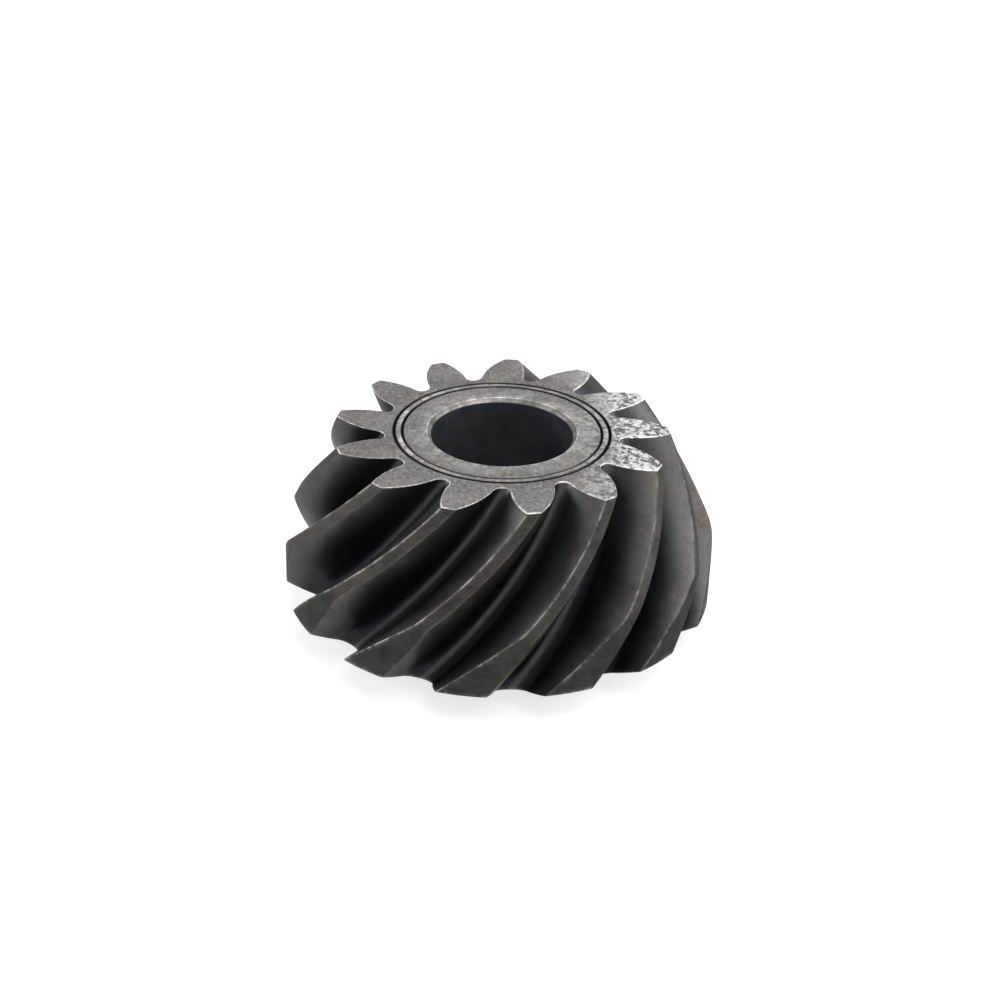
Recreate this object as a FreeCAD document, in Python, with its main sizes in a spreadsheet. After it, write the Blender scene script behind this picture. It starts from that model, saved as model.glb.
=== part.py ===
import FreeCAD, Part
import os
import Sketcher
from FreeCAD import Vector

# Spiral-bevel pinion: thirteen right-hand teeth, and a sleeve pressed into the gear's seat.
# Millimetres, +Z up. The origin is the centre of the flat back face, on the bore's axis,
# and the small end of the teeth is the top face. One tooth is centred on +X there.
#
# The tip, pitch and root cones share an apex on the axis, apex_rise above the top face, so
# a radius of the toothing grows by (apex_rise + depth) / apex_rise at a depth below it.

DIMENSIONS = {
    # the blank
    "total_height": 14.5,
    "heel_radius": 15.4,
    "heel_edge_height": 2.3,
    "back_face_radius": 9.9,
    # the toothing's cones: radii on the top face, and the common apex
    "apex_rise": 24.6,
    "small_tip_radius": 11.85,
    "small_root_radius": 8.3,
    # the teeth: turns in degrees, per millimetre of depth or of radius
    "teeth": 13,
    "twist_per_depth": 4.1,
    "lean_per_radius": 1.1,
    "thinning_per_depth": 0.06,
    # the cutter for one tooth space runs out past both ends of the blank
    "cutter_rise": 0.6,
    "cutter_depth": 14.0,
    "cutter_crest_share": 1.1,
    # the sleeve, its bore, and the bevelled joint between it and its seat
    "bore_radius": 5.0,
    "bore_chamfer": 0.3,
    "sleeve_radius": 7.03,
    "sleeve_lead_in": 0.25,
    "joint_bevel": 0.11,
    "joint_depth": 0.2,
    # the V-groove round the joint, which leaves a narrow band between the two
    "groove_radius": 7.62,
    "groove_half_width": 0.11,
    "groove_depth": 0.2,
}

# One flank of a tooth across the axis, from tip to root: radius as a share of the tip
# radius, and the tooth's half angle there in degrees. The flank is one arc.
FLANK_TIP = (1.03, 1.04)
FLANK_MIDDLE = (0.88, 6.81)
FLANK_FOOT = (0.74, 10.0)
SECTION_COUNT = 8

# The back face's height, as a formula.
BACK = "0"

doc = FreeCAD.newDocument("spiral_bevel_pinion")
dims = doc.addObject("Spreadsheet::Sheet", "dims")
for row, (alias, value) in enumerate(DIMENSIONS.items(), start=1):
    dims.set(f"A{row}", alias)
    dims.set(f"B{row}", str(value))
    dims.setAlias(f"B{row}", alias)
doc.recompute()


def origin_feature(body, role):
    """One of a body's own origin planes or axes, found by its role."""
    return next(item for item in body.Origin.OriginFeatures if item.Role == role)


def new_body(name):
    """An empty body, whose label names its file."""
    body = doc.addObject("PartDesign::Body", name)
    body.Label = name
    return body


def new_sketch(body, name, role):
    """A sketch laid flat on one of the body's own origin planes."""
    sketch = body.newObject("Sketcher::SketchObject", name)
    sketch.AttachmentSupport = [(origin_feature(body, role), "")]
    sketch.MapMode = "FlatFace"
    return sketch


def at(point):
    """The place that a point's two formulas give now."""
    return Vector(*(float(dims.evalExpression(formula)) for formula in point), 0)


def pin(sketch, geometry, end, point):
    """Hold one end of a sketch element at a point given by two formulas."""
    for kind, formula in zip(("DistanceX", "DistanceY"), point):
        value = float(dims.evalExpression(formula))
        index = sketch.addConstraint(Sketcher.Constraint(kind, -1, 1, geometry, end, value))
        sketch.setExpression(f"Constraints[{index}]", formula)


def join(sketch, edges):
    """Join each edge's end to the next edge's start, round a closed outline."""
    for (edge, _, end), (following, start, _) in zip(edges, edges[1:] + edges[:1]):
        sketch.addConstraint(Sketcher.Constraint("Coincident", edge, end, following, start))


def draw_polygon(sketch, points):
    """A closed outline of straight edges with every corner held by formulas."""
    edges = []
    for first, second in zip(points, points[1:] + points[:1]):
        line = sketch.addGeometry(Part.LineSegment(at(first), at(second)))
        pin(sketch, line, 1, first)
        edges.append((line, 1, 2))
    join(sketch, edges)


def draw_arcs(sketch, corners, middles):
    """A closed outline of arcs: corners held by formulas, each arc through its middle."""
    edges = []
    for first, middle, second in zip(corners, middles, corners[1:] + corners[:1]):
        ends = [at(first), at(middle), at(second)]
        turns_left = (ends[1] - ends[0]).cross(ends[2] - ends[0]).z > 0
        start, end = (1, 2) if turns_left else (2, 1)
        arc = sketch.addGeometry(Part.Arc(*(ends if turns_left else reversed(ends))))
        pin(sketch, arc, start, first)
        waypoint = sketch.addGeometry(Part.Point(ends[1]), True)
        pin(sketch, waypoint, 1, middle)
        sketch.addConstraint(Sketcher.Constraint("PointOnObject", waypoint, 1, arc))
        edges.append((arc, start, end))
    join(sketch, edges)


def revolve(body, name, outline):
    """A full turn about Z of an outline of (radius, height) formulas."""
    sketch = new_sketch(body, f"{name}_outline", "XZ_Plane")
    draw_polygon(sketch, outline)
    turned = body.newObject("PartDesign::Revolution", name)
    turned.Profile = (sketch, [""])
    turned.ReferenceAxis = (origin_feature(body, "Z_Axis"), [""])
    turned.Angle = 360
    sketch.Visibility = False
    doc.recompute()
    return turned


def polar(radius, angle):
    """A point's two formulas from the formulas of its radius and angle."""
    return (f"{radius} * cos({angle})", f"{radius} * sin({angle})")


def space_section(body, number):
    """The outline of one tooth space across the axis, at one of the cutter's depths."""
    share = number / (SECTION_COUNT - 1)
    depth = f"({share} * (dims.cutter_depth + dims.cutter_rise) - dims.cutter_rise)"
    tip = f"(dims.small_tip_radius * (dims.apex_rise + {depth}) / dims.apex_rise)"
    half_pitch = "180 / dims.teeth"

    def space_point(radius_share, half_angle, side):
        """A point on the space: side is 1 or -1 for its two flanks, 0 for its middle."""
        lean = f"dims.lean_per_radius * {tip} * {1 - radius_share}"
        middle = f"{half_pitch} - dims.twist_per_depth * {depth} + {lean}"
        opening = f"({half_pitch} - {half_angle} + dims.thinning_per_depth * {depth})"
        return polar(f"{tip} * {radius_share}", f"({middle} + {side} * {opening})")

    root_share = "dims.small_root_radius / dims.small_tip_radius"
    root_lean = f"dims.lean_per_radius * {tip} * (1 - {root_share})"
    root_angle = f"({half_pitch} - dims.twist_per_depth * {depth} + {root_lean})"
    root = polar(f"{tip} * {root_share}", root_angle)

    sketch = new_sketch(body, f"space_section_{number}", "XY_Plane")
    sketch.setExpression("AttachmentOffset.Base.z", f"dims.total_height - {depth}")
    corners = [
        space_point(*FLANK_TIP, 1),
        space_point(*FLANK_FOOT, 1),
        space_point(*FLANK_FOOT, -1),
        space_point(*FLANK_TIP, -1),
    ]
    crest = polar(f"{tip} * dims.cutter_crest_share", root_angle)
    middles = [space_point(*FLANK_MIDDLE, 1), root, space_point(*FLANK_MIDDLE, -1), crest]
    draw_arcs(sketch, corners, middles)
    sketch.Visibility = False
    return sketch


def toothed_gear():
    """The gear: a turned blank with a sleeve seat and a face groove, and thirteen tooth spaces."""
    body = new_body("pinion_gear")
    top = "dims.total_height"
    tip_slope = "(dims.small_tip_radius / dims.apex_rise)"
    crown_height = f"{top} - (dims.heel_radius - dims.small_tip_radius) / {tip_slope}"
    seat_foot = "dims.sleeve_radius + dims.sleeve_lead_in"
    blank = revolve(body, "blank", [
        ("dims.sleeve_radius", "dims.sleeve_lead_in"),
        ("dims.sleeve_radius", f"{top} - dims.joint_depth"),
        ("dims.sleeve_radius + dims.joint_bevel", top),
        ("dims.groove_radius - dims.groove_half_width", top),
        ("dims.groove_radius", f"{top} - dims.groove_depth"),
        ("dims.groove_radius + dims.groove_half_width", top),
        ("dims.small_tip_radius", top),
        ("dims.heel_radius", crown_height),
        ("dims.heel_radius", "dims.heel_edge_height"),
        ("dims.back_face_radius", BACK),
        (seat_foot, BACK),
    ])
    blank_volume = blank.Shape.Volume

    sections = [space_section(body, number) for number in range(SECTION_COUNT)]
    doc.recompute()
    space = body.newObject("PartDesign::SubtractiveLoft", "tooth_space")
    space.Profile = (sections[0], [""])
    space.Sections = [(section, [""]) for section in sections[1:]]
    doc.recompute()
    space_volume = blank_volume - space.Shape.Volume

    spaces = body.newObject("PartDesign::PolarPattern", "tooth_spaces")
    spaces.Originals = [space]
    spaces.Axis = (origin_feature(body, "Z_Axis"), [""])
    spaces.Angle = 360
    spaces.setExpression("Occurrences", "dims.teeth")
    body.Tip = spaces
    doc.recompute()
    removed = blank_volume - body.Shape.Volume
    if abs(removed - dims.teeth * space_volume) > 0.001 * blank_volume:
        raise RuntimeError("the tooth spaces do not all cut alike")
    return body


def bore_sleeve():
    """The sleeve: a plain bush flush with both faces, chamfered inside and out."""
    body = new_body("bore_sleeve")
    top = "dims.total_height"
    bore_mouth = "dims.bore_radius + dims.bore_chamfer"
    revolve(body, "bush", [
        ("dims.bore_radius", "dims.bore_chamfer"),
        ("dims.bore_radius", f"{top} - dims.bore_chamfer"),
        (bore_mouth, top),
        ("dims.sleeve_radius - dims.joint_bevel", top),
        ("dims.sleeve_radius", f"{top} - dims.joint_depth"),
        ("dims.sleeve_radius", "dims.sleeve_lead_in"),
        ("dims.sleeve_radius - dims.sleeve_lead_in", BACK),
        (bore_mouth, BACK),
    ])
    return body


pieces = [toothed_gear(), bore_sleeve()]
doc.recompute()

failed = [item.Name for item in doc.Objects if {"Invalid", "Error"} & set(item.State)]
if failed:
    raise RuntimeError(f"these objects failed: {failed}")
for piece in pieces:
    if piece.Shape.isNull() or not piece.Shape.isValid():
        raise RuntimeError(f"{piece.Label} has no valid shape")

os.makedirs("parts", exist_ok=True)
for piece in pieces:
    piece.Shape.exportStep(f"parts/{piece.Label}.step")
    box = piece.Shape.optimalBoundingBox()
    print(f"{piece.Label}: volume {piece.Shape.Volume:.1f}, solids {len(piece.Shape.Solids)}, "
          f"faces {len(piece.Shape.Faces)}, box {box.XLength:.2f} {box.YLength:.2f} {box.ZLength:.2f}")
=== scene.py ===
import math

import bmesh
import bpy
import numpy as np
from mathutils import Matrix, Vector


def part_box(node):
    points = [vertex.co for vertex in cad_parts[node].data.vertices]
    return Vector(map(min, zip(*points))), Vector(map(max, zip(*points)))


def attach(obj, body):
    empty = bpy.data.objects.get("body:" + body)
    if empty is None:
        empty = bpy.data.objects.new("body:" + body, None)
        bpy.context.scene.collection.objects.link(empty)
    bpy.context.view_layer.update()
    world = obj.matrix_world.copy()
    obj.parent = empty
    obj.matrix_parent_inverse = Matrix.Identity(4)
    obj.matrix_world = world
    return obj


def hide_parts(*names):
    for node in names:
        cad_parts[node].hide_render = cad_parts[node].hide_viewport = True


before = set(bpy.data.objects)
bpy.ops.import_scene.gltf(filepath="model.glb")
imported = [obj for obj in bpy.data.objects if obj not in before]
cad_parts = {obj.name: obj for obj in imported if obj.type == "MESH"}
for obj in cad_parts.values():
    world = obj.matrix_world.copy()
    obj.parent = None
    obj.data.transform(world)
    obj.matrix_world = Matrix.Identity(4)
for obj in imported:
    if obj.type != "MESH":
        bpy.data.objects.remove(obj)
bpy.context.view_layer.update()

# ---------------------------------------------------------------------------
# Sizes. The script works in millimetres and turns them into metres as each
# mesh is made. Sizes that the frame holds are read from it.
# ---------------------------------------------------------------------------

MM = 0.001


def reach(node):
    """Largest radius and height of a CAD node, in millimetres."""
    low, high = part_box(node)
    return max(high.x, high.y, -low.x, -low.y) / MM, high.z / MM


HEEL_RADIUS, TOTAL_HEIGHT = reach("pinion_gear")
SLEEVE_RADIUS, _ = reach("bore_sleeve")

# The toothing: cones with one apex above the small-end face, as in the CAD model.
TEETH = 13
PITCH_ANGLE = 360 / TEETH
APEX_RISE = 24.6
SMALL_TIP_RADIUS = 11.85
SMALL_ROOT_RADIUS = 8.3
TWIST_PER_DEPTH = 4.1
LEAN_PER_RADIUS = 1.1
THINNING_PER_DEPTH = 0.06
# radius as a share of the tip radius, and half the tooth's angle there in degrees
FLANK = ((1.03, 1.04), (0.88, 6.81), (0.74, 10.0))

# The turned blank.
HEEL_EDGE_HEIGHT = 2.3
HEEL_EDGE_DEPTH = TOTAL_HEIGHT - HEEL_EDGE_HEIGHT
BACK_FACE_RADIUS = 9.9
BACK_SLOPE = HEEL_EDGE_HEIGHT / (HEEL_RADIUS - BACK_FACE_RADIUS)
CROWN_HEIGHT = TOTAL_HEIGHT - (HEEL_RADIUS - SMALL_TIP_RADIUS) / SMALL_TIP_RADIUS * APEX_RISE
BORE_RADIUS = 5.0
BORE_CHAMFER = 0.3
SEAT_LEAD_IN = 0.25

# The joint between sleeve and gear, and the V-groove round it, on the small-end face.
JOINT_BEVEL = 0.11
JOINT_DEPTH = 0.2
GROOVE_RADIUS = 7.62
GROOVE_HALF_WIDTH = 0.11
GROOVE_DEPTH = 0.2

# Edges are broken by small rounds, and the crown of each tooth by a softer one.
EDGE_ROUND = 0.07
TIP_ROUND = 0.11
CROWN_ROUND = 0.12

# How finely the surfaces are divided: columns on half a tooth, rows along it and on the end faces.
# A position on half a tooth runs from 0, the middle of the land, to 1, the middle of the root.
LAND_COLUMNS = 3
CORNER_COLUMNS = 3
FLANK_COLUMNS = 12
ROOT_COLUMNS = 5
COLUMN_ENDS = np.cumsum([LAND_COLUMNS, CORNER_COLUMNS, FLANK_COLUMNS, ROOT_COLUMNS])
HALF_COLUMNS = COLUMN_ENDS[-1]
LAND_END, CORNER_END, FLANK_END = COLUMN_ENDS[:3] / HALF_COLUMNS
ROUND_ROWS = 5
FACE_ROWS = 8
ROUND_FACE_ROWS = 4
ROOT_MARGIN = 0.12
ROWS_TO_CROWN = 52
ROWS_TO_HEEL = 40
SLEEVE_COLUMNS = 360


# ---------------------------------------------------------------------------
# The tooth, as formulas
# ---------------------------------------------------------------------------

def smooth_step(low, high, value):
    """0 below low, 1 above high, and a smooth rise between them."""
    share = np.clip((value - low) / (high - low), 0, 1)
    return share * share * (3 - 2 * share)


def soft_min(first, second, width):
    """The smaller of two values, rounded over where they cross."""
    return 0.5 * (first + second - np.sqrt((first - second) ** 2 + width ** 2))


def tip_radius(depth):
    """Radius of the face cone at a depth below the small-end face."""
    return SMALL_TIP_RADIUS * (APEX_RISE + depth) / APEX_RISE


def half_angle(share, depth):
    """Half of the tooth's angle, in degrees, at a share of the tip radius."""
    total = -THINNING_PER_DEPTH * depth
    for here, (share_here, angle_here) in enumerate(FLANK):
        weight = 1.0
        for other, (share_other, _) in enumerate(FLANK):
            if other != here:
                weight = weight * (share - share_other) / (share_here - share_other)
        total = total + weight * angle_here
    return total


def half_profile(position, depth):
    """Angle from the tooth's centre, in degrees, and radius at a position on half a tooth."""
    tip = tip_radius(depth)
    land_radius = soft_min(tip, HEEL_RADIUS, CROWN_ROUND)
    land_share = land_radius / tip
    land_half = half_angle(land_share, depth)
    corner = np.degrees(TIP_ROUND / land_radius)
    flank_share = land_share - TIP_ROUND / tip

    land_angle = (land_half - corner) * np.clip(position / LAND_END, 0, 1)

    turn = np.clip((position - LAND_END) / (CORNER_END - LAND_END), 0, 1)
    flank_start = half_angle(flank_share, depth)
    corner_angle = ((1 - turn) ** 2 * (land_half - corner) + 2 * turn * (1 - turn) * land_half
                    + turn ** 2 * flank_start)
    corner_radius = ((1 - turn ** 2) * land_share + turn ** 2 * flank_share) * tip

    foot_share = FLANK[-1][0]
    way = np.clip((position - CORNER_END) / (FLANK_END - CORNER_END), 0, 1)
    share = flank_share + (foot_share - flank_share) * way
    flank_angle = half_angle(share, depth)

    # the root is an arc across the space, from one flank's foot to the other's
    root_radius = tip * SMALL_ROOT_RADIUS / SMALL_TIP_RADIUS
    foot_gap = np.radians(PITCH_ANGLE / 2 - half_angle(foot_share, depth))
    foot_x = foot_share * tip * np.sin(foot_gap)
    foot_y = foot_share * tip * np.cos(foot_gap) - root_radius
    arc_radius = (foot_x ** 2 + foot_y ** 2) / (2 * foot_y)
    arc_foot = np.arctan2(foot_x, arc_radius - foot_y)
    arc = arc_foot * np.clip((1 - position) / (1 - FLANK_END), 0, 1)
    arc_x = arc_radius * np.sin(arc)
    arc_y = root_radius + arc_radius * (1 - np.cos(arc))
    root_angle = PITCH_ANGLE / 2 - np.degrees(np.arctan2(arc_x, arc_y))

    zones = [position <= LAND_END, position <= CORNER_END, position <= FLANK_END]
    angle = np.select(zones, [land_angle, corner_angle, flank_angle], root_angle)
    radius = np.select(zones, [land_radius + 0 * position, corner_radius, share * tip],
                       np.hypot(arc_x, arc_y))
    return angle, radius


def back_cone_height(radius):
    """Height of the back cone over the back face at a radius."""
    return np.maximum(radius - BACK_FACE_RADIUS, 0) * BACK_SLOPE


def face_height(radius):
    """Height of the small-end face, the same at every radius."""
    return TOTAL_HEIGHT + 0 * radius


def end_depth(position):
    """Depth at which a line of the tooth's surface runs out through the back cone."""
    low = np.full_like(position, HEEL_EDGE_DEPTH - 1.0)
    high = np.full_like(position, TOTAL_HEIGHT)
    for _ in range(40):
        middle = (low + high) / 2
        _, radius = half_profile(position, middle)
        inside = TOTAL_HEIGHT - middle > back_cone_height(radius)
        low = np.where(inside, middle, low)
        high = np.where(inside, high, middle)
    return (low + high) / 2


class Columns:
    """The lines that run down the toothing, all the way round the gear, in order of angle."""

    def __init__(self):
        one_side = np.arange(HALF_COLUMNS) / HALF_COLUMNS
        other_side = np.arange(1, HALF_COLUMNS + 1)[::-1] / HALF_COLUMNS
        self.position = np.tile(np.concatenate([other_side, one_side]), TEETH)
        self.side = np.tile(np.repeat([-1.0, 1.0], HALF_COLUMNS), TEETH)
        self.tooth = np.repeat(np.arange(TEETH), 2 * HALF_COLUMNS)
        self.count = 2 * HALF_COLUMNS * TEETH
        self.even_angle = (np.arange(self.count) - HALF_COLUMNS) * 360 / self.count
        self.end = end_depth(self.position)

    def polar(self, depth):
        """Angle in degrees and radius of every column at its own depth."""
        depth = depth + 0 * self.position
        angle, radius = half_profile(self.position, depth)
        lean = LEAN_PER_RADIUS * (tip_radius(depth) - radius)
        centre = self.tooth * PITCH_ANGLE - TWIST_PER_DEPTH * depth + lean
        return centre + self.side * angle, radius

    def ring(self, depth, inset=0.0):
        """Points of a ring at a depth, moved into the metal by inset."""
        angle, radius = self.polar(depth)
        turn = np.radians(angle)
        points = np.stack([radius * np.cos(turn), radius * np.sin(turn)], axis=1)
        along = np.roll(points, -1, axis=0) - np.roll(points, 1, axis=0)
        outward = np.stack([along[:, 1], -along[:, 0]], axis=1)
        outward /= np.linalg.norm(outward, axis=1, keepdims=True)
        points = points - outward * inset
        height = TOTAL_HEIGHT - depth + 0 * self.position
        return np.column_stack([points, height])


# ---------------------------------------------------------------------------
# Meshes
# ---------------------------------------------------------------------------

def circle_ring(radius, height, angle):
    """A ring of points at one radius and height."""
    turn = np.radians(angle)
    return np.column_stack([radius * np.cos(turn), radius * np.sin(turn), height + 0 * turn])


def between(outer, inner, share, height_at):
    """A ring part of the way between two rings, in equal steps of radius and angle."""
    outer_radius = np.hypot(outer[:, 0], outer[:, 1])
    inner_radius = np.hypot(inner[:, 0], inner[:, 1])
    outer_turn = np.arctan2(outer[:, 1], outer[:, 0])
    inner_turn = np.arctan2(inner[:, 1], inner[:, 0])
    swing = (inner_turn - outer_turn + math.pi) % (2 * math.pi) - math.pi
    radius = outer_radius + (inner_radius - outer_radius) * share
    return circle_ring(radius, height_at(radius), np.degrees(outer_turn + swing * share))


def face_rings(outline, inner, height_at):
    """Rings from a toothed outline in to a round ring: straight in past the roots, then round."""
    turn = np.degrees(np.arctan2(outline[:, 1], outline[:, 0]))
    round_radius = np.hypot(outline[:, 0], outline[:, 1]).min() - ROOT_MARGIN
    circle = circle_ring(round_radius, height_at(round_radius), turn)
    stages = ((outline, circle, FACE_ROWS), (circle, inner, ROUND_FACE_ROWS))
    return [between(outer, goal, share, height_at)
            for outer, goal, rows in stages
            for share in np.linspace(0, 1, rows)[1:]]


def mesh_from_rings(name, rings, last_shift=0):
    """A closed mesh from rings of equal length, joined round and back to the first ring."""
    count = len(rings[0])
    points = np.concatenate(rings) * MM
    here = np.arange(count)
    after = (here + 1) % count
    faces = []
    for row in range(len(rings)):
        following = (row + 1) % len(rings)
        shift = last_shift if following == 0 else 0
        base, base_next = row * count, following * count
        quads = np.column_stack([
            base + here,
            base + after,
            base_next + (after + shift) % count,
            base_next + (here + shift) % count,
        ])
        faces.append(quads)
    faces = np.concatenate(faces)
    mesh = bpy.data.meshes.new(name)
    mesh.from_pydata(points.tolist(), [], faces.tolist())
    mesh.validate()
    return mesh


def finish_mesh(mesh, name, sharp_angle=40):
    """Outward normals, smooth shading up to sharp_angle, and an object in the scene."""
    build = bmesh.new()
    build.from_mesh(mesh)
    bmesh.ops.recalc_face_normals(build, faces=build.faces)
    build.to_mesh(mesh)
    build.free()
    mesh.shade_smooth()
    mesh.set_sharp_from_angle(angle=math.radians(sharp_angle))
    piece = bpy.data.objects.new(name, mesh)
    bpy.context.scene.collection.objects.link(piece)
    return piece


def point_attribute(mesh, name, values):
    """A number on every vertex, for the materials."""
    layer = mesh.attributes.new(name, "FLOAT", "POINT")
    layer.data.foreach_set("value", np.asarray(values, np.float32))


# Where a groove's rings lie, in half widths from its middle. The joint is half a groove.
HALF_GROOVE = (0, 0.5, 0.8, 1, 1.25, 1.5, 2)
WHOLE_GROOVE = tuple(-offset for offset in HALF_GROOVE[:0:-1]) + HALF_GROOVE[:-1]

# A groove's black filling, painted shade with some oil, ends at this offset. Its lips are rounded over
# this many half widths.
FILL_END = 1.5
LIP_ROUND = 0.1

# The gear's materials. A row of faces over the teeth has two: the lands' and the flanks'.
FACE_STEEL, LAND_STEEL, FLANK_STEEL, BACK_STEEL, TOOTH_STEELS = range(5)

# How bright the band between joint and groove is made: all round, rubbing with a painted highlight, and
# extra towards one side, a painted highlight where the left lamp falls.
BAND_RUB_AND_HIGHLIGHT = 0.22
BAND_HIGHLIGHT_EXTRA = 0.7
BAND_HIGHLIGHT_AZIMUTH = 175

# How wide the lands' edges are made bright, in position, how much the second edge of a land is,
# and how much the edges away from the brightest side of the gear are: rubbing with a painted highlight
# on it, most where the edges catch the light.
EDGE_RUB_AND_HIGHLIGHT_WIDTH = 0.05
SECOND_EDGE_HIGHLIGHT = 0.12
FAR_SIDE_HIGHLIGHT = 0.2
EDGE_HIGHLIGHT_AZIMUTH = -135

# The ends of the teeth at the back are rubbed less, over a short way, in millimetres.
HEEL_WEAR = 0.4
HEEL_WEAR_LENGTH = 0.1
BACK_EDGE_WEAR = 0.5

# A grey painted highlight runs along one side of each root, between these distances in position from
# the root's middle.
ROOT_HIGHLIGHT_START = (-0.27, -0.2)
ROOT_HIGHLIGHT_END = (-0.03, 0.05)


def v_share(offset):
    """Depth of a V with rounded lips at an offset in half widths, as a share of its full depth."""
    return -soft_min(abs(offset) - 1, 0, LIP_ROUND) if abs(offset) < FILL_END else 0.0


def oil_and_shade(offset):
    """Share of black over a groove at an offset in half widths, painted shade with some oil: it spreads
    a little past the lips.
    """
    return 1 - smooth_step(0.9, FILL_END, abs(offset))


def rounding_steps():
    """Angles over a rounded edge, from 0 on the end face to a quarter turn on the teeth."""
    return [math.pi / 2 * row / ROUND_ROWS for row in range(ROUND_ROWS + 1)]


class GearRings:
    """The gear's rings, from its seat over the small-end face and the teeth to its back."""

    def __init__(self):
        self.columns = Columns()
        self.rings, self.kinds, self.wear, self.sunk = [], [], [], []
        middle = (LAND_END + CORNER_END) / 2
        # The first edge of each land is bright and the second much less: rubbing with a painted
        # highlight where the edges catch the light.
        tip_wear = np.exp(-((self.columns.position - middle) / EDGE_RUB_AND_HIGHLIGHT_WIDTH) ** 2)
        self.tip_wear = tip_wear * np.where(self.columns.side < 0, 1.0, SECOND_EDGE_HIGHLIGHT)
        # by how many columns the teeth have twisted at the back, where the round rings follow them
        self.shift = round(TWIST_PER_DEPTH * HEEL_EDGE_DEPTH / 360 * self.columns.count)
        self.small_end()
        self.teeth()
        self.back()

    def add(self, ring, kind, wear=0.0, sunk=0.0):
        """One more ring, with the material of the faces that follow it."""
        self.rings.append(ring)
        self.kinds.append(kind)
        self.wear.append(wear + 0 * self.columns.position)
        self.sunk.append(sunk + 0 * self.columns.position)

    def small_end(self):
        """The seat, the gear's side of the joint, a narrow band, the groove round it, and the face."""
        top, even = TOTAL_HEIGHT, self.columns.even_angle
        # The band is bright all round, and most towards the left lamp: painted highlight on rubbed
        # metal.
        turn_away = np.radians(even - BAND_HIGHLIGHT_AZIMUTH)
        band_wear = BAND_RUB_AND_HIGHLIGHT + BAND_HIGHLIGHT_EXTRA * np.maximum(np.cos(turn_away), 0) ** 2
        self.add(circle_ring(SLEEVE_RADIUS, SEAT_LEAD_IN, even), BACK_STEEL)
        # The joint and the groove are filled with black: painted shade, with some oil.
        for offset in HALF_GROOVE:
            height = top - JOINT_DEPTH * v_share(offset)
            ring = circle_ring(SLEEVE_RADIUS + JOINT_BEVEL * offset, height, even)
            self.add(ring, FACE_STEEL, band_wear if offset > 1 else 0.0, oil_and_shade(offset))
        for offset in WHOLE_GROOVE:
            height = top - GROOVE_DEPTH * v_share(offset)
            ring = circle_ring(GROOVE_RADIUS + GROOVE_HALF_WIDTH * offset, height, even)
            self.add(ring, FACE_STEEL, band_wear if offset < -1 else 0.0, oil_and_shade(offset))

        outline = self.columns.ring(0.0, EDGE_ROUND)
        inward = face_rings(outline, self.rings[-1], face_height)
        for ring in reversed(inward[:-1]):
            self.add(ring, FACE_STEEL)
        for turn in rounding_steps()[:-1]:
            depth = EDGE_ROUND * (1 - math.cos(turn))
            ring = self.columns.ring(depth, EDGE_ROUND * (1 - math.sin(turn)))
            # Bright across the middle of the rounded edge: rubbing with a painted highlight.
            self.add(ring, FACE_STEEL, math.sin(2 * turn) ** 0.5)

    def tooth_ring(self, depth, end_wear=0.0):
        """A ring over the teeth, with the lands' edges made bright, most towards one side of the gear:
        rubbing and a painted highlight.
        """
        ring = self.columns.ring(depth)
        # Brightest on the side of the gear where the edges catch the light: a painted highlight.
        turn = np.arctan2(ring[:, 1], ring[:, 0]) - math.radians(EDGE_HIGHLIGHT_AZIMUTH)
        near_side = (0.5 + 0.5 * np.cos(turn)) ** 2
        edge_wear = self.tip_wear * (FAR_SIDE_HIGHLIGHT + (1 - FAR_SIDE_HIGHLIGHT) * near_side)
        self.add(ring, TOOTH_STEELS, np.maximum(edge_wear, end_wear))

    def teeth(self):
        """The tooth surfaces, down to the crown and on to the heel."""
        crown_depth = TOTAL_HEIGHT - CROWN_HEIGHT
        self.add(self.columns.ring(EDGE_ROUND), TOOTH_STEELS)
        for row in range(1, ROWS_TO_CROWN + 1):
            self.tooth_ring(EDGE_ROUND + (crown_depth - EDGE_ROUND) * row / ROWS_TO_CROWN)
        last = self.columns.end - EDGE_ROUND
        for row in range(1, ROWS_TO_HEEL + 1):
            depth = crown_depth + (last - crown_depth) * row / ROWS_TO_HEEL
            self.tooth_ring(depth, HEEL_WEAR * np.exp(-(last - depth) / HEEL_WEAR_LENGTH))

    def back(self):
        """The rounded ends of the teeth, the back cone, the back face and the seat's lead-in."""
        for turn in rounding_steps()[-2::-1]:
            depth = self.columns.end - EDGE_ROUND * (1 - math.cos(turn))
            ring = self.columns.ring(depth, EDGE_ROUND * (1 - math.sin(turn)))
            on_cone = back_cone_height(np.hypot(ring[:, 0], ring[:, 1]))
            ring[:, 2] += (on_cone - ring[:, 2]) * math.cos(turn)
            self.add(ring, BACK_STEEL, BACK_EDGE_WEAR)
        turned = self.columns.even_angle - self.shift * 360 / self.columns.count
        inner = circle_ring(BACK_FACE_RADIUS, 0.0, turned)
        for ring in face_rings(self.rings[-1], inner, back_cone_height):
            self.add(ring, BACK_STEEL)
        for radius in np.linspace(BACK_FACE_RADIUS, SLEEVE_RADIUS + SEAT_LEAD_IN, 4)[1:]:
            self.add(circle_ring(radius, 0.0, turned), BACK_STEEL)


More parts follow.
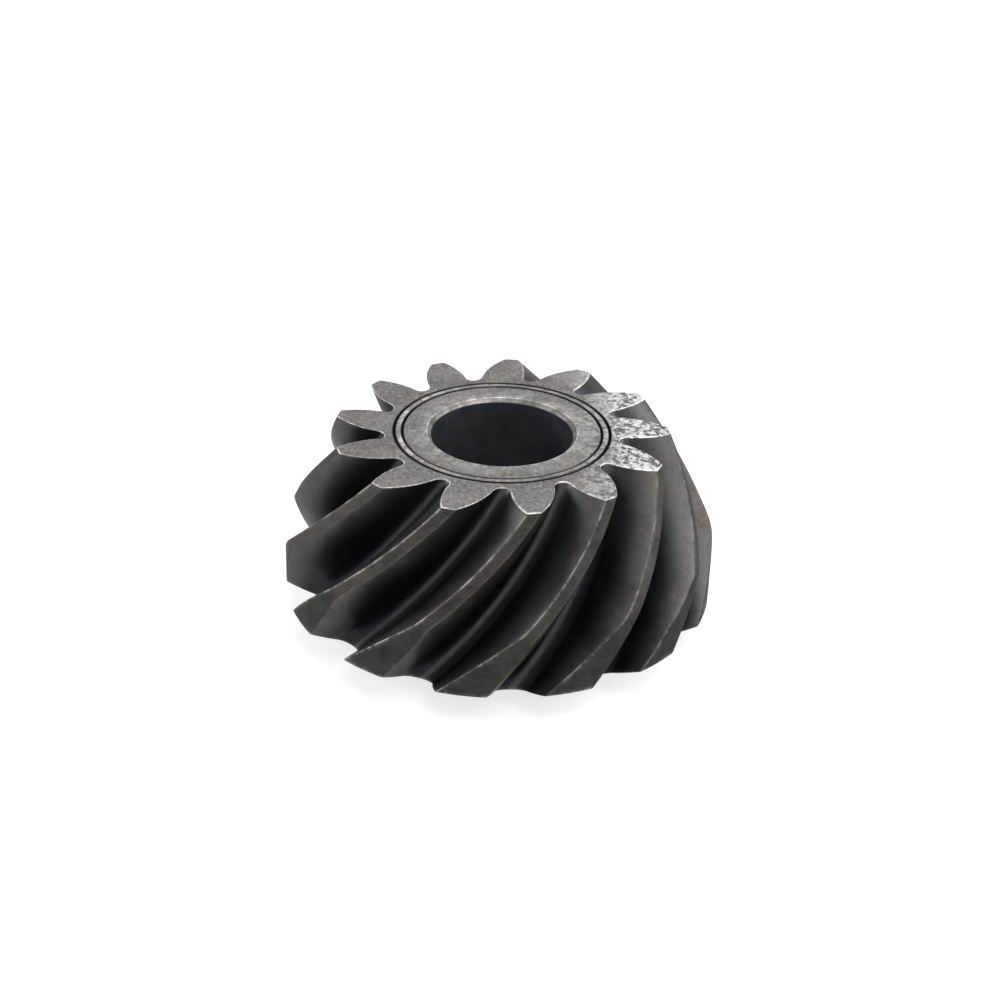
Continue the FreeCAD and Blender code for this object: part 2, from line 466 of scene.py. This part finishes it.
def make_gear():
    """The toothed gear as one closed mesh of rings."""
    build = GearRings()
    columns, count = build.columns, len(build.rings)
    mesh = mesh_from_rings("gear", build.rings, -build.shift)
    # A painted highlight along the side of each root that faces the light.
    past_root = (1 - columns.position) * columns.side
    root_highlight = smooth_step(*ROOT_HIGHLIGHT_START, past_root) - smooth_step(*ROOT_HIGHLIGHT_END, past_root)
    point_attribute(mesh, "wear", np.concatenate(build.wear))
    point_attribute(mesh, "sunk", np.concatenate(build.sunk))
    point_attribute(mesh, "across", np.tile(columns.position, count))
    point_attribute(mesh, "root_highlight", np.tile(root_highlight, count))

    on_land = columns.position < CORNER_END
    by_column = np.where(on_land & np.roll(on_land, -1), LAND_STEEL, FLANK_STEEL)
    by_row = [by_column if kind == TOOTH_STEELS else np.full(columns.count, kind)
              for kind in build.kinds]
    mesh.polygons.foreach_set("material_index", np.concatenate(by_row).astype(np.int32))
    return finish_mesh(mesh, "pinion_gear_detailed")


def rounded_outline(corners, steps=4):
    """Points of an outline with corners in (radius, height, size of the small curve there)."""
    outline = []
    for index, (*corner, size) in enumerate(corners):
        point = np.array(corner)
        back = np.array(corners[index - 1][:2]) - point
        ahead = np.array(corners[(index + 1) % len(corners)][:2]) - point
        start = point + back / np.linalg.norm(back) * size
        end = point + ahead / np.linalg.norm(ahead) * size
        for step in range(steps + 1):
            share = step / steps
            outline.append((1 - share) ** 2 * start + 2 * share * (1 - share) * point
                           + share ** 2 * end)
    return outline


RING_STEEL, BORE_STEEL, FOOT_STEEL = range(3)

# The bore's chamfer is rubbed bright over this width at its two edges and blackened between them.
CHAMFER_WEAR_WIDTH = 0.06
CHAMFER_GRIME = 0.6

# The joint is black from this share of its depth downwards: painted shade, with some oil.
JOINT_OIL_AND_SHADE_START = 0.3

# Faces this close to the bore's radius belong to its wall.
BORE_WALL_MARGIN = 0.04


def make_sleeve():
    """The pressed-in sleeve, turned from its section."""
    top, chamfer_foot = TOTAL_HEIGHT, TOTAL_HEIGHT - BORE_CHAMFER
    mouth = BORE_RADIUS + BORE_CHAMFER
    corners = [
        (BORE_RADIUS, BORE_CHAMFER, 0.05),
        (BORE_RADIUS, chamfer_foot, 0.05),
        (mouth, top, 0.06),
        (SLEEVE_RADIUS - JOINT_BEVEL, top, 0.04),
        (SLEEVE_RADIUS, top - JOINT_DEPTH, 0.01),
        (SLEEVE_RADIUS, SEAT_LEAD_IN, 0.05),
        (SLEEVE_RADIUS - SEAT_LEAD_IN, 0.0, 0.05),
        (mouth, 0.0, 0.05),
    ]
    outline = rounded_outline(corners)
    angle = np.arange(SLEEVE_COLUMNS) * 360 / SLEEVE_COLUMNS
    rings = [circle_ring(radius, height, angle) for radius, height in outline]
    mesh = mesh_from_rings("sleeve", rings)

    radius, height = np.array(outline).T
    in_joint = radius > SLEEVE_RADIUS - FILL_END * JOINT_BEVEL
    # The joint darkens to black with depth: painted shade, with some oil.
    joint_oil_and_shade = smooth_step(0.0, JOINT_OIL_AND_SHADE_START, (top - height) / JOINT_DEPTH)
    from_ends = np.minimum(top - height, height - chamfer_foot)
    chamfer_grime = CHAMFER_GRIME * smooth_step(0.0, CHAMFER_WEAR_WIDTH, from_ends)
    from_edge = np.minimum(np.hypot(radius - mouth, height - top),
                           np.hypot(radius - BORE_RADIUS, height - chamfer_foot))
    wear = np.exp(-(from_edge / CHAMFER_WEAR_WIDTH) ** 2)
    sunk = np.where(in_joint, joint_oil_and_shade, chamfer_grime)
    point_attribute(mesh, "wear", np.repeat(wear, SLEEVE_COLUMNS))
    point_attribute(mesh, "sunk", np.repeat(sunk, SLEEVE_COLUMNS))

    widest = np.maximum(radius, np.roll(radius, -1))
    highest = np.maximum(height, np.roll(height, -1))
    kinds = np.where(highest < TOTAL_HEIGHT / 2, FOOT_STEEL, RING_STEEL)
    kinds = np.where(widest < BORE_RADIUS + BORE_WALL_MARGIN, BORE_STEEL, kinds)
    mesh.polygons.foreach_set("material_index", np.repeat(kinds, SLEEVE_COLUMNS).astype(np.int32))
    return finish_mesh(mesh, "bore_sleeve_detailed")


# ---------------------------------------------------------------------------
# Materials
# ---------------------------------------------------------------------------

class Nodes:
    """A short way to write a material's node tree."""

    def __init__(self, name):
        self.material = bpy.data.materials.new(name)
        self.material.use_nodes = True
        self.tree = self.material.node_tree
        self.tree.nodes.clear()
        self.output = self.tree.nodes.new("ShaderNodeOutputMaterial")
        self.shader = self.tree.nodes.new("ShaderNodeBsdfPrincipled")
        self.tree.links.new(self.shader.outputs["BSDF"], self.output.inputs["Surface"])
        self.place = self.node("ShaderNodeTexCoord").outputs["Object"]

    def node(self, kind, inputs=None, **settings):
        """A node with some of its inputs set or linked."""
        made = self.tree.nodes.new(kind)
        for key, value in settings.items():
            setattr(made, key, value)
        for key, value in (inputs or {}).items():
            self.put(made.inputs[key], value)
        return made

    def put(self, socket, value):
        """Links a socket to another node's output, or sets its value."""
        if isinstance(value, bpy.types.NodeSocket):
            self.tree.links.new(value, socket)
        else:
            socket.default_value = value

    def math(self, operation, first, second):
        """Two values added or multiplied."""
        made = self.node("ShaderNodeMath", {0: first, 1: second}, operation=operation)
        return made.outputs[0]

    def noise(self, scale, detail=3.0, roughness=0.55, place=None, distortion=0.0):
        """Noise with scale features to a millimetre."""
        made = self.node("ShaderNodeTexNoise", {
            "Vector": place or self.place, "Scale": scale / MM, "Detail": detail,
            "Roughness": roughness, "Distortion": distortion})
        return made.outputs["Fac"]

    def rise(self, value, low, high, start=0.0, end=1.0):
        """A value turned into a smooth step from start to end."""
        made = self.node("ShaderNodeMapRange", {
            "Value": value, "From Min": low, "From Max": high, "To Min": start, "To Max": end},
            interpolation_type="SMOOTHSTEP")
        return made.outputs["Result"]

    def attribute(self, name):
        """A number that the mesh holds at every vertex."""
        return self.node("ShaderNodeAttribute", attribute_name=name).outputs["Fac"]

    def mix(self, share, first, second):
        """A colour that is the first one at share 0 and the second one at share 1."""
        made = self.node("ShaderNodeMix", data_type="RGBA")
        self.put(made.inputs["Factor"], share)
        self.put(made.inputs["A"], first)
        self.put(made.inputs["B"], second)
        return made.outputs["Result"]

    def bump(self, height, strength, distance, normal=None):
        """A normal bent by a height over a distance in millimetres, on top of another normal."""
        inputs = {"Height": height, "Strength": strength, "Distance": distance * MM}
        if normal is not None:
            inputs["Normal"] = normal
        return self.node("ShaderNodeBump", inputs).outputs["Normal"]

    def stretched(self, along, across, up):
        """Object coordinates stretched by three factors."""
        made = self.node("ShaderNodeMapping", {"Vector": self.place, "Scale": (along, across, up)})
        return made.outputs["Vector"]

    def height(self):
        """Height over the back face, in millimetres."""
        return self.math("MULTIPLY", self.node("ShaderNodeSeparateXYZ", {0: self.place}).outputs["Z"],
                         1 / MM)

    def turning_marks(self, scale):
        """Noise that changes only with the distance from the axis, scale features to a millimetre."""
        flat = self.node("ShaderNodeVectorMath", {0: self.place, 1: (1, 1, 0)}, operation="MULTIPLY")
        radius = self.node("ShaderNodeVectorMath", {0: flat.outputs[0]}, operation="LENGTH")
        marks = self.node("ShaderNodeTexNoise", {
            "W": self.math("MULTIPLY", radius.outputs["Value"], scale / MM), "Scale": 1.0,
            "Detail": 3.0}, noise_dimensions="1D")
        return marks.outputs["Fac"]

    def rubbed_and_highlit(self, amount):
        """Share of bright metal along the edges, in some places more than in others: rubbing, and in
        places a painted highlight.
        """
        patches = self.rise(self.noise(0.9, 4.0, 0.65), 0.42, 0.62, 0.15, 1.0)
        return self.math("MULTIPLY", self.math("MULTIPLY", self.attribute("wear"), patches), amount)

    def rusted(self, amount):
        """Share of rust brown, in a few wide patches."""
        return self.rise(self.noise(0.22, 4.0, 0.65), 0.52, 0.66, 0.0, amount)

    def towards(self, azimuth):
        """How far a point lies towards an azimuth in degrees, in metres."""
        turn = math.radians(azimuth)
        direction = (math.cos(turn), math.sin(turn), 0)
        return self.node("ShaderNodeVectorMath", {0: self.place, 1: direction},
                         operation="DOT_PRODUCT").outputs["Value"]

    def set(self, **sockets):
        """Sets or links the shader's own sockets."""
        for key, value in sockets.items():
            self.put(self.shader.inputs[key.replace("_", " ")], value)
        return self.material


def rgb(red, green, blue):
    """A colour with an opaque alpha."""
    return (red, green, blue, 1.0)


# Oiled steel stays darker than clean steel where it is seen edge-on.
DULL = rgb(0.55, 0.55, 0.55)

# The small-end face is pitted and sparkling towards one side, and lighter in a soft zone beside that.
PITTED_AZIMUTH = -5
BRIGHT_AZIMUTH = 22


def faced_steel(name):
    """The faced small-end steel: fine grain and turning marks, with a bright pitted side."""
    make = Nodes(name)
    grain = make.noise(4.5, 5.0, 0.75)
    cloud = make.noise(0.35, 3.0)
    rings = make.turning_marks(6.0)
    tint = make.mix(make.rise(cloud, 0.35, 0.65), rgb(0.165, 0.154, 0.144), rgb(0.225, 0.211, 0.20))
    tint = make.mix(make.rise(grain, 0.48, 0.66, 0.0, 0.6), tint, rgb(0.42, 0.395, 0.37))
    tint = make.mix(make.rise(grain, 0.34, 0.48, 0.65, 0.0), tint, rgb(0.045, 0.041, 0.038))

    wander = make.math("MULTIPLY", cloud, 3.0 * MM)
    bright = make.rise(make.math("ADD", make.towards(BRIGHT_AZIMUTH), wander), 8.6 * MM, 10.4 * MM)
    tint = make.mix(make.math("MULTIPLY", bright, 0.5), tint, rgb(0.46, 0.45, 0.45))
    out_to_pits = make.math("ADD", make.towards(PITTED_AZIMUTH), wander)
    speckled = make.rise(out_to_pits, 6.4 * MM, 8.0 * MM)
    pitted = make.rise(out_to_pits, 8.4 * MM, 10.2 * MM)
    pits = make.noise(2.8, 3.0, 0.6, distortion=0.3)
    sparkle = make.mix(make.rise(pits, 0.40, 0.60), rgb(0.11, 0.106, 0.104), rgb(0.84, 0.83, 0.83))
    tint = make.mix(make.math("MULTIPLY", speckled, 0.3), tint, sparkle)
    tint = make.mix(make.math("MULTIPLY", pitted, 0.85), tint, sparkle)
    # Bright edges: rubbing with a painted highlight.
    tint = make.mix(make.rubbed_and_highlit(0.9), tint, rgb(0.80, 0.79, 0.76))
    # In the groove and the joint the black filling, with rust patches, is painted shade with some oil;
    # on the bore's chamfer it darkens the middle.
    filling = make.mix(make.rusted(0.6), rgb(0.008, 0.008, 0.008), rgb(0.07, 0.028, 0.018))
    tint = make.mix(make.attribute("sunk"), tint, filling)

    normal = make.bump(rings, 0.25, 0.02)
    normal = make.bump(grain, 0.35, 0.03, normal)
    normal = make.bump(make.math("MULTIPLY", pits, pitted), 0.6, 0.2, normal)
    roughness = make.rise(grain, 0.3, 0.7, 0.42, 0.62)
    return make.set(Base_Color=tint, Metallic=0.8, Roughness=roughness, Normal=normal)


def land_steel(name):
    """The turned tooth lands: brownish grey on the cone, olive on the heel and darker there, the
    darkening being painted shade.
    """
    make = Nodes(name)
    cloud = make.noise(0.5, 3.0)
    grain = make.noise(7.0, 4.0, 0.7)
    marks = make.noise(5.0, 3.0, 0.65, place=make.stretched(0.4, 0.4, 1.0))
    cone = make.mix(make.rise(cloud, 0.35, 0.65), rgb(0.040, 0.0365, 0.033), rgb(0.062, 0.0565, 0.051))
    cone = make.mix(make.rise(marks, 0.45, 0.65, 0.0, 0.3), cone, rgb(0.10, 0.093, 0.082))
    # The heel's land faces sideways: its darker tone is painted shade, its olive tint the metal's.
    heel = make.mix(make.rise(cloud, 0.35, 0.65), rgb(0.023, 0.0245, 0.0205), rgb(0.036, 0.0375, 0.031))
    heel = make.mix(make.rise(marks, 0.45, 0.65, 0.0, 0.15), heel, rgb(0.08, 0.08, 0.068))
    tint = make.mix(make.rise(make.height(), CROWN_HEIGHT - 0.4, CROWN_HEIGHT + 0.4), heel, cone)
    tint = make.mix(make.rise(grain, 0.30, 0.42, 0.5, 0.0), tint, rgb(0.012, 0.011, 0.010))
    tint = make.mix(make.rusted(0.3), tint, rgb(0.075, 0.048, 0.034))
    # Bright land edges: rubbing with a painted highlight.
    tint = make.mix(make.rubbed_and_highlit(0.8), tint, rgb(0.50, 0.49, 0.46))
    normal = make.bump(marks, 0.15, 0.03)
    normal = make.bump(grain, 0.3, 0.03, normal)
    return make.set(Base_Color=tint, Metallic=0.8, Roughness=0.5, Specular_IOR_Level=0.2,
                    Specular_Tint=DULL, Normal=normal)


def flank_steel(name):
    """The dark, oily tooth flanks: near black below the tips, where the darkening is painted shade,
    with a painted highlight along one side of each root.
    """
    make = Nodes(name)
    cloud = make.noise(0.4, 3.0)
    streaks = make.noise(2.0, 3.0, place=make.stretched(1.0, 1.0, 0.25))
    grain = make.noise(6.0, 3.0, 0.6)
    across = make.attribute("across")
    tip = make.mix(make.rise(cloud, 0.35, 0.65), rgb(0.070, 0.069, 0.068), rgb(0.098, 0.092, 0.086))
    tip = make.mix(make.rusted(0.35), tip, rgb(0.09, 0.055, 0.038))
    # Darker deeper in the tooth spaces, towards the heel and towards the root: painted shade over dark,
    # oily steel.
    oily_and_shaded = make.mix(make.rise(make.height(), 8.0, 14.0), rgb(0.017, 0.020, 0.025),
                     rgb(0.042, 0.043, 0.047))
    tint = make.mix(make.rise(across, 0.28, 0.62), tip, oily_and_shaded)
    # Grey painted highlight along one side of each root.
    tint = make.mix(make.attribute("root_highlight"), tint, rgb(0.078, 0.076, 0.075))
    tint = make.mix(make.rise(streaks, 0.5, 0.75, 0.0, 0.45), tint, rgb(0.05, 0.043, 0.037))
    tint = make.mix(make.rise(grain, 0.30, 0.50, 0.22, 0.0), tint, rgb(0.006, 0.006, 0.006))
    # Bright edges: rubbing with a painted highlight.
    tint = make.mix(make.rubbed_and_highlit(0.5), tint, rgb(0.42, 0.40, 0.37))
    normal = make.bump(streaks, 0.15, 0.04)
    normal = make.bump(grain, 0.12, 0.02, normal)
    roughness = make.rise(cloud, 0.3, 0.7, 0.34, 0.46)
    return make.set(Base_Color=tint, Metallic=0.85, Roughness=roughness, Specular_IOR_Level=0.2,
                    Specular_Tint=DULL, Normal=normal)


def back_steel(name):
    """The turned back cone and back face: dark grey with concentric marks."""
    make = Nodes(name)
    cloud = make.noise(0.3, 3.0)
    grain = make.noise(7.0, 4.0, 0.7)
    rings = make.turning_marks(5.0)
    tint = make.mix(make.rise(cloud, 0.35, 0.65), rgb(0.085, 0.08, 0.074), rgb(0.14, 0.132, 0.122))
    tint = make.mix(make.rise(rings, 0.45, 0.7, 0.0, 0.4), tint, rgb(0.22, 0.21, 0.195))
    tint = make.mix(make.rise(grain, 0.30, 0.42, 0.4, 0.0), tint, rgb(0.03, 0.028, 0.025))
    tint = make.mix(make.rubbed_and_highlit(0.5), tint, rgb(0.5, 0.48, 0.44))
    normal = make.bump(rings, 0.35, 0.03)
    normal = make.bump(grain, 0.25, 0.02, normal)
    return make.set(Base_Color=tint, Metallic=0.8, Roughness=0.42, Normal=normal)


def bore_steel(name):
    """The bore's wall: smooth, oily and nearly black."""
    make = Nodes(name)
    cloud = make.noise(0.4, 3.0)
    hone = make.noise(6.0, 3.0, place=make.stretched(0.2, 0.2, 1.0))
    tint = make.mix(make.rise(cloud, 0.35, 0.65), rgb(0.018, 0.021, 0.028), rgb(0.03, 0.034, 0.044))
    tint = make.mix(make.rise(hone, 0.5, 0.75, 0.0, 0.4), tint, rgb(0.05, 0.053, 0.062))
    normal = make.bump(hone, 0.25, 0.02)
    return make.set(Base_Color=tint, Metallic=0.3, Roughness=0.5, Normal=normal)


def floor_paint(name):
    """A plain pale floor, lit from within like a light table, so that shadows stay soft."""
    make = Nodes(name)
    return make.set(Base_Color=rgb(0.42, 0.42, 0.42), Roughness=0.9, Emission_Color=rgb(1.0, 1.0, 1.0),
                    Emission_Strength=0.7)


# ---------------------------------------------------------------------------
# The pieces
# ---------------------------------------------------------------------------

gear = make_gear()
for material in (faced_steel("gear_face"), land_steel("gear_land"), flank_steel("gear_flank"),
                 back_steel("gear_back")):
    gear.data.materials.append(material)
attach(gear, "root")
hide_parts("pinion_gear")

sleeve = make_sleeve()
for material in (faced_steel("sleeve_ring"), bore_steel("sleeve_bore"), back_steel("sleeve_foot")):
    sleeve.data.materials.append(material)
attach(sleeve, "root")
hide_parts("bore_sleeve")


# ---------------------------------------------------------------------------
# Floor, camera and light
# ---------------------------------------------------------------------------

def make_floor(half_side=1.5):
    """A wide flat floor under the back face."""
    mesh = bpy.data.meshes.new("floor")
    corners = [(x * half_side, y * half_side, 0) for x, y in ((-1, -1), (1, -1), (1, 1), (-1, 1))]
    mesh.from_pydata(corners, [], [(0, 1, 2, 3)])
    mesh.materials.append(floor_paint("floor_paint"))
    floor = bpy.data.objects.new("floor", mesh)
    bpy.context.scene.collection.objects.link(floor)


CAMERA_AZIMUTH = -94.34
CAMERA_ELEVATION = 27.25
CAMERA_DISTANCE = 145.4
CAMERA_ROLL = 1.79
CAMERA_LENS = 74.2
AIM_HEIGHT = 8.9


def direction(azimuth, elevation):
    """A unit vector at an azimuth from +X and an elevation, in degrees."""
    turn, lift = math.radians(azimuth), math.radians(elevation)
    return Vector((math.cos(turn) * math.cos(lift), math.sin(turn) * math.cos(lift), math.sin(lift)))


def make_camera():
    """A camera that looks down at the small-end face."""
    data = bpy.data.cameras.new("camera")
    data.lens = CAMERA_LENS
    data.clip_start = 0.005
    camera = bpy.data.objects.new("camera", data)
    bpy.context.scene.collection.objects.link(camera)
    face = Vector((0, 0, TOTAL_HEIGHT))
    place = face + direction(CAMERA_AZIMUTH, CAMERA_ELEVATION) * CAMERA_DISTANCE
    look = Vector((0, 0, AIM_HEIGHT)) - place
    aimed = look.to_track_quat("-Z", "Y").to_matrix().to_4x4()
    roll = Matrix.Rotation(math.radians(CAMERA_ROLL), 4, "Z")
    camera.matrix_world = Matrix.Translation(place * MM) @ aimed @ roll
    bpy.context.scene.camera = camera


def area_light(name, azimuth, elevation, distance, size, watts):
    """A round soft light that faces the object; its azimuth is counted from the camera's."""
    data = bpy.data.lights.new(name, "AREA")
    data.shape = "DISK"
    data.size = size * MM
    data.energy = watts
    light = bpy.data.objects.new(name, data)
    bpy.context.scene.collection.objects.link(light)
    centre = Vector((0, 0, TOTAL_HEIGHT / 2))
    place = centre + direction(CAMERA_AZIMUTH + azimuth, elevation) * distance
    light.matrix_world = (Matrix.Translation(place * MM)
                          @ (centre - place).to_track_quat("-Z", "Y").to_matrix().to_4x4())


def make_world(strength):
    """Even white light from all round."""
    world = bpy.data.worlds.new("world")
    world.use_nodes = True
    background = world.node_tree.nodes["Background"]
    background.inputs["Color"].default_value = rgb(1.0, 1.0, 1.0)
    background.inputs["Strength"].default_value = strength
    bpy.context.scene.world = world


make_floor()
make_camera()
make_world(0.75)
area_light("overhead", 60, 75, 260, 240, 0.5)
area_light("right", 95, 25, 260, 120, 0.25)
area_light("left", -95, 20, 260, 120, 0.2)
bpy.context.scene.view_settings.view_transform = "Standard"
